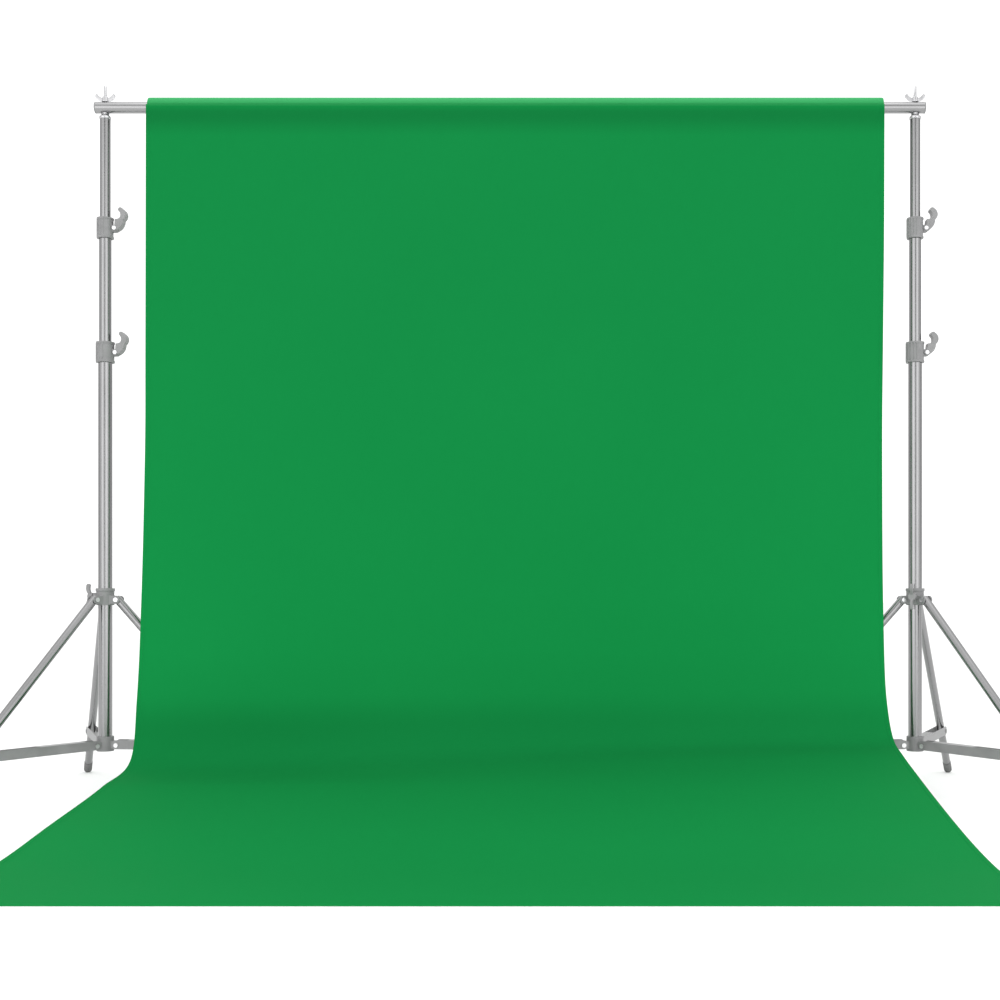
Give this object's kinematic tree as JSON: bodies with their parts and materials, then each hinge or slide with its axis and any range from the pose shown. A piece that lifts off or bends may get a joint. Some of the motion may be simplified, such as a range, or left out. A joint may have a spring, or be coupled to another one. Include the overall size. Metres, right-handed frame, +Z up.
{
  "type": "background support system",
  "caption": "Background support system: two folding tripod stands with telescoping masts hold a sectional crossbar and a wide green fabric drop that sweeps on to the floor.",
  "frame": {"origin": "on the floor, at the bottom centre of the whole set-up's box, midway between the two masts", "axes": "+Z up, +X along the crossbar from the left stand to the right one as seen from the front, -Y towards the front hem of the drop"},
  "size_m": [2.5118, 1.5702, 1.727],
  "materials": {
    "mast_tube": "satin anodised",
    "leg_tube": "satin anodised",
    "brace_metal": "satin powder coat",
    "bar_tube": "satin",
    "clamp_plastic": "fine moulded grain",
    "lever_plastic": "fine moulded grain",
    "rivet_steel": "bright",
    "stud_steel": "bright plated",
    "bush_plastic": "smooth",
    "foot_rubber": "matt",
    "green_fabric": "matt plain weave"
  },
  "bodies": {
    "root": {"left_lower_tube": "mast_tube", "right_lower_tube": "mast_tube", "left_base_collar": "clamp_plastic", "right_base_collar": "clamp_plastic", "left_lower_clamp": "clamp_plastic", "right_lower_clamp": "clamp_plastic", "base_rivets": "rivet_steel", "lower_bushes": "bush_plastic", "lower_pins": "rivet_steel", "drop_fall": "green_fabric", "drop_sweep": "green_fabric"},
    "left_middle": {"left_middle_tube": "mast_tube", "left_upper_clamp": "clamp_plastic", "left_upper_bush": "bush_plastic", "left_upper_pin": "rivet_steel"},
    "left_upper": {"left_upper_tube": "mast_tube", "left_top_stud": "stud_steel", "bar_section_1": "bar_tube", "bar_section_2": "bar_tube", "bar_section_3": "bar_tube", "bar_section_4": "bar_tube", "bar_joiners": "bar_tube", "bar_end_caps": "clamp_plastic", "drop_pocket": "green_fabric"},
    "left_nut": {"left_wing_nut": "stud_steel"},
    "left_lower_flip": {"left_lower_lever": "lever_plastic"},
    "left_upper_flip": {"left_upper_lever": "lever_plastic"},
    "left_slider": {"left_spreader": "clamp_plastic", "left_spreader_rivets": "rivet_steel"},
    "left_lock": {"left_spreader_knob": "lever_plastic"},
    "left_leg_1_body": {"left_leg_1": "leg_tube", "left_foot_1": "foot_rubber"},
    "left_brace_1_body": {"left_brace_1": "brace_metal"},
    "left_leg_2_body": {"left_leg_2": "leg_tube", "left_foot_2": "foot_rubber"},
    "left_brace_2_body": {"left_brace_2": "brace_metal"},
    "left_leg_3_body": {"left_leg_3": "leg_tube", "left_foot_3": "foot_rubber"},
    "left_brace_3_body": {"left_brace_3": "brace_metal"},
    "right_middle": {"right_middle_tube": "mast_tube", "right_upper_clamp": "clamp_plastic", "right_upper_bush": "bush_plastic", "right_upper_pin": "rivet_steel"},
    "right_upper": {"right_upper_tube": "mast_tube", "right_top_stud": "stud_steel"},
    "right_nut": {"right_wing_nut": "stud_steel"},
    "right_lower_flip": {"right_lower_lever": "lever_plastic"},
    "right_upper_flip": {"right_upper_lever": "lever_plastic"},
    "right_slider": {"right_spreader": "clamp_plastic", "right_spreader_rivets": "rivet_steel"},
    "right_lock": {"right_spreader_knob": "lever_plastic"},
    "right_leg_1_body": {"right_leg_1": "leg_tube", "right_foot_1": "foot_rubber"},
    "right_brace_1_body": {"right_brace_1": "brace_metal"},
    "right_leg_2_body": {"right_leg_2": "leg_tube", "right_foot_2": "foot_rubber"},
    "right_brace_2_body": {"right_brace_2": "brace_metal"},
    "right_leg_3_body": {"right_leg_3": "leg_tube", "right_foot_3": "foot_rubber"},
    "right_brace_3_body": {"right_brace_3": "brace_metal"}
  },
  "joints": [
    {"name": "left_middle_slide", "type": "slide", "parent": "root", "child": "left_middle", "axis": [0, 0, 1], "range_m": [-0.245, 0.18], "deforming": ["drop_fall"]},
    {"name": "left_upper_slide", "type": "slide", "parent": "left_middle", "child": "left_upper", "axis": [0, 0, 1], "range_m": [-0.22, 0.17], "deforming": ["drop_fall"]},
    {"name": "left_nut_turn", "type": "hinge", "parent": "left_upper", "child": "left_nut", "pos_m": [-0.986, 0.3649, 1.69], "axis": [0, 0, 1], "continuous": true},
    {"name": "left_lower_lever_flip", "type": "hinge", "parent": "root", "child": "left_lower_flip", "pos_m": [-0.959, 0.3649, 1.077], "axis": [0, 1, 0], "range_deg": [0, 80]},
    {"name": "left_upper_lever_flip", "type": "hinge", "parent": "left_middle", "child": "left_upper_flip", "pos_m": [-0.961, 0.3649, 1.379], "axis": [0, 1, 0], "range_deg": [0, 80]},
    {"name": "left_fold", "type": "slide", "parent": "root", "child": "left_slider", "axis": [0, 0, 1], "range_m": [0, 0.4398]},
    {"name": "left_knob_turn", "type": "hinge", "parent": "left_slider", "child": "left_lock", "pos_m": [-1.01589, 0.36751, 0.484], "axis": [-0.9962, 0.0872, 0], "continuous": true},
    {"name": "left_leg_1_swing", "type": "hinge", "parent": "left_slider", "child": "left_leg_1_body", "pos_m": [-0.95412, 0.36211, 0.476], "axis": [0.0872, 0.9962, 0], "range_deg": [0, 42]},
    {"name": "left_brace_1_swing", "type": "hinge", "parent": "root", "child": "left_brace_1_body", "pos_m": [-0.95412, 0.36211, 0.123], "axis": [-0.0872, -0.9962, 0], "range_deg": [0, 90]},
    {"name": "left_leg_2_swing", "type": "hinge", "parent": "left_slider", "child": "left_leg_2_body", "pos_m": [-1.00435, 0.33869, 0.476], "axis": [0.8192, -0.5736, 0], "range_deg": [0, 42]},
    {"name": "left_brace_2_swing", "type": "hinge", "parent": "root", "child": "left_brace_2_body", "pos_m": [-1.00435, 0.33869, 0.123], "axis": [-0.8192, 0.5736, 0], "range_deg": [0, 90]},
    {"name": "left_leg_3_swing", "type": "hinge", "parent": "left_slider", "child": "left_leg_3_body", "pos_m": [-0.99952, 0.3939, 0.476], "axis": [-0.9063, -0.4226, 0], "range_deg": [0, 42]},
    {"name": "left_brace_3_swing", "type": "hinge", "parent": "root", "child": "left_brace_3_body", "pos_m": [-0.99952, 0.3939, 0.123], "axis": [0.9063, 0.4226, 0], "range_deg": [0, 90]},
    {"name": "right_middle_slide", "type": "slide", "parent": "root", "child": "right_middle", "axis": [0, 0, 1], "range_m": [-0.245, 0.18]},
    {"name": "right_upper_slide", "type": "slide", "parent": "right_middle", "child": "right_upper", "axis": [0, 0, 1], "range_m": [-0.22, 0.17]},
    {"name": "right_nut_turn", "type": "hinge", "parent": "right_upper", "child": "right_nut", "pos_m": [0.986, 0.3649, 1.69], "axis": [0, 0, 1], "continuous": true},
    {"name": "right_lower_lever_flip", "type": "hinge", "parent": "root", "child": "right_lower_flip", "pos_m": [1.013, 0.3649, 1.077], "axis": [0, 1, 0], "range_deg": [0, 80]},
    {"name": "right_upper_lever_flip", "type": "hinge", "parent": "right_middle", "child": "right_upper_flip", "pos_m": [1.011, 0.3649, 1.379], "axis": [0, 1, 0], "range_deg": [0, 80]},
    {"name": "right_fold", "type": "slide", "parent": "root", "child": "right_slider", "axis": [0, 0, 1], "range_m": [0, 0.4398]},
    {"name": "right_knob_turn", "type": "hinge", "parent": "right_slider", "child": "right_lock", "pos_m": [0.97332, 0.33771, 0.484], "axis": [-0.4226, -0.9063, 0], "continuous": true},
    {"name": "right_leg_1_swing", "type": "hinge", "parent": "right_slider", "child": "right_leg_1_body", "pos_m": [0.95412, 0.36211, 0.476], "axis": [0.0872, -0.9962, 0], "range_deg": [0, 42]},
    {"name": "right_brace_1_swing", "type": "hinge", "parent": "root", "child": "right_brace_1_body", "pos_m": [0.95412, 0.36211, 0.123], "axis": [-0.0872, 0.9962, 0], "range_deg": [0, 90]},
    {"name": "right_leg_2_swing", "type": "hinge", "parent": "right_slider", "child": "right_leg_2_body", "pos_m": [1.00435, 0.33869, 0.476], "axis": [0.8192, 0.5736, 0], "range_deg": [0, 42]},
    {"name": "right_brace_2_swing", "type": "hinge", "parent": "root", "child": "right_brace_2_body", "pos_m": [1.00435, 0.33869, 0.123], "axis": [-0.8192, -0.5736, 0], "range_deg": [0, 90]},
    {"name": "right_leg_3_swing", "type": "hinge", "parent": "right_slider", "child": "right_leg_3_body", "pos_m": [0.99952, 0.3939, 0.476], "axis": [-0.9063, 0.4226, 0], "range_deg": [0, 42]},
    {"name": "right_brace_3_swing", "type": "hinge", "parent": "root", "child": "right_brace_3_body", "pos_m": [0.99952, 0.3939, 0.123], "axis": [0.9063, -0.4226, 0], "range_deg": [0, 90]}
  ],
  "couplings": [
    {"joint": "left_leg_1_swing", "follows": "left_fold", "rad_per_m": 1.6666},
    {"joint": "left_brace_1_swing", "follows": "left_fold", "rad_per_m": 3.5712},
    {"joint": "left_leg_2_swing", "follows": "left_fold", "rad_per_m": 1.6666},
    {"joint": "left_brace_2_swing", "follows": "left_fold", "rad_per_m": 3.5712},
    {"joint": "left_leg_3_swing", "follows": "left_fold", "rad_per_m": 1.6666},
    {"joint": "left_brace_3_swing", "follows": "left_fold", "rad_per_m": 3.5712},
    {"joint": "right_leg_1_swing", "follows": "right_fold", "rad_per_m": 1.6666},
    {"joint": "right_brace_1_swing", "follows": "right_fold", "rad_per_m": 3.5712},
    {"joint": "right_leg_2_swing", "follows": "right_fold", "rad_per_m": 1.6666},
    {"joint": "right_brace_2_swing", "follows": "right_fold", "rad_per_m": 3.5712},
    {"joint": "right_leg_3_swing", "follows": "right_fold", "rad_per_m": 1.6666},
    {"joint": "right_brace_3_swing", "follows": "right_fold", "rad_per_m": 3.5712},
    {"joint": "right_middle_slide", "follows": "left_middle_slide", "ratio": 1},
    {"joint": "right_upper_slide", "follows": "left_upper_slide", "ratio": 1}
  ]
}
